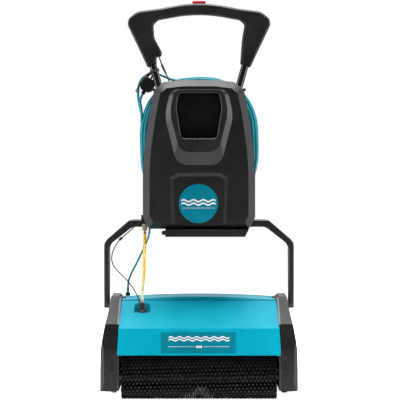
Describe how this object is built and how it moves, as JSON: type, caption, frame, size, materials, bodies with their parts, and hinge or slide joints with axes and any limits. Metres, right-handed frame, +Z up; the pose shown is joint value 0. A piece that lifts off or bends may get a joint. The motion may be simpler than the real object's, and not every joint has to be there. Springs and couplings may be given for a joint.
{
  "type": "floor scrubber",
  "caption": "Upright wet dry floor scrubber with contra-rotating cylindrical brushes, a tilting handle, a lift-off solution tank and a wound mains cable.",
  "frame": {"origin": "on the floor under the middle of the deck", "axes": "+Z up, -Y the front that faces away from the operator, +X to the right when seen from the front"},
  "size_m": [0.554, 0.364, 1.142],
  "materials": {
    "teal_shell": "satin moulded colour",
    "black_shell": "fine textured",
    "black_part": "satin",
    "black_tube": "gloss powder coat",
    "black_frame": "satin powder coat",
    "grey_bezel": "satin",
    "bristle": "nylon bristle",
    "core": "satin",
    "steel": "turned",
    "bronze": "sintered",
    "belt": "matte",
    "motor_can": "satin",
    "label": "satin film",
    "disc": "satin film",
    "grey_fitting": "satin",
    "foot_light": "satin",
    "foot_dark": "matte",
    "switch_red": "gloss",
    "teal_cable": "satin",
    "hose_yellow": "gloss",
    "black_cable": "satin",
    "plug_black": "satin"
  },
  "bodies": {
    "deck": {"chassis_plates": "black_frame", "cross_rails": "steel", "front_cover": "teal_shell", "rear_cover": "teal_shell", "side_cover_left": "black_shell", "side_cover_right": "black_shell", "latch_springs": "steel", "shaft_bearings": "bronze", "drive_belts": "belt", "drive_motor": "motor_can", "inlet_spigot": "black_part", "spray_bar": "black_part", "label_plate": "label", "lead_gland": "black_part", "cover_screws": "steel", "pivot_pins": "steel", "foot_left": "foot_light", "foot_right": "foot_dark"},
    "latch_left_body": {"brush_latch_left": "black_part"},
    "latch_right_body": {"brush_latch_right": "black_part"},
    "front_brush": {"front_brush_core": "core", "front_brush_bristles": "bristle", "front_brush_pulleys": "core"},
    "rear_brush": {"rear_brush_core": "core", "rear_brush_bristles": "bristle", "rear_brush_pulley": "core"},
    "drum": {"conveyor_drum": "core", "drum_pulley": "core"},
    "motor_rotor": {"motor_shaft": "steel"},
    "counter_rotor": {"counter_gear": "steel"},
    "recovery_unit": {"recovery_tank": "black_shell", "recovery_lid": "teal_shell"},
    "handle": {"fork": "black_frame", "pivot_bushes": "bronze", "handle_tube_left": "black_tube", "handle_tube_right": "black_tube", "tube_clamps": "black_part", "cradle": "black_shell", "solution_pump": "black_part", "hose_coupling": "grey_fitting", "grip_front": "black_shell", "grip_rear": "black_shell", "grip_screws": "steel", "cable_hooks": "black_part", "plug_strap": "black_part", "fork_clip": "black_part", "mains_coil": "teal_cable", "mains_lead": "teal_cable", "mains_tail": "teal_cable", "mains_loop": "teal_cable", "mains_plug": "plug_black", "motor_lead": "teal_cable", "solution_hose": "hose_yellow", "control_cable": "black_cable", "switch_cable": "black_cable"},
    "switch_key": {"start_switch": "switch_red"},
    "solution_unit": {"solution_tank": "black_shell", "window_bezel": "grey_bezel", "emblem_disc": "disc"},
    "cap": {"filler_cap": "black_part"}
  },
  "joints": [
    {"name": "handle_tilt", "type": "hinge", "parent": "deck", "child": "handle", "pos_m": [0, 0.02, 0.258], "axis": [-1, 0, 0], "range_deg": [0, 60], "deforming": ["motor_lead", "solution_hose", "control_cable"]},
    {"name": "front_brush_spin", "type": "hinge", "parent": "deck", "child": "front_brush", "pos_m": [0, -0.105, 0.062], "axis": [1, 0, 0], "continuous": true},
    {"name": "rear_brush_spin", "type": "hinge", "parent": "deck", "child": "rear_brush", "pos_m": [0, 0.105, 0.062], "axis": [1, 0, 0], "continuous": true},
    {"name": "drum_spin", "type": "hinge", "parent": "deck", "child": "drum", "pos_m": [0, 0, 0.08], "axis": [1, 0, 0], "continuous": true},
    {"name": "motor_spin", "type": "hinge", "parent": "deck", "child": "motor_rotor", "pos_m": [0, 0.112, 0.186], "axis": [1, 0, 0], "continuous": true},
    {"name": "counter_spin", "type": "hinge", "parent": "deck", "child": "counter_rotor", "pos_m": [0, 0.064, 0.186], "axis": [1, 0, 0], "continuous": true},
    {"name": "recovery_lift", "type": "slide", "parent": "deck", "child": "recovery_unit", "axis": [0, 0, 1], "range_m": [0, 0.035]},
    {"name": "solution_lift", "type": "slide", "parent": "handle", "child": "solution_unit", "axis": [0, 0, 1], "range_m": [0, 0.2]},
    {"name": "cap_turn", "type": "hinge", "parent": "solution_unit", "child": "cap", "pos_m": [0, -0.07, 0.853], "axis": [0, -1, 0], "range_deg": [0, 90]},
    {"name": "switch_press", "type": "slide", "parent": "handle", "child": "switch_key", "axis": [0, 0, -1], "range_m": [0, 0.003], "stiffness_N_per_m": 900, "springref_m": -0.002},
    {"name": "latch_left_press", "type": "slide", "parent": "deck", "child": "latch_left_body", "axis": [0, 1, 0], "range_m": [0, 0.003], "stiffness_N_per_m": 1200, "springref_m": -0.002},
    {"name": "latch_right_press", "type": "slide", "parent": "deck", "child": "latch_right_body", "axis": [0, 1, 0], "range_m": [0, 0.003], "stiffness_N_per_m": 1200, "springref_m": -0.002}
  ],
  "couplings": [
    {"joint": "rear_brush_spin", "follows": "front_brush_spin", "ratio": -1},
    {"joint": "drum_spin", "follows": "front_brush_spin", "ratio": 1},
    {"joint": "counter_spin", "follows": "front_brush_spin", "ratio": 1.2222},
    {"joint": "motor_spin", "follows": "front_brush_spin", "ratio": -1.2222}
  ]
}
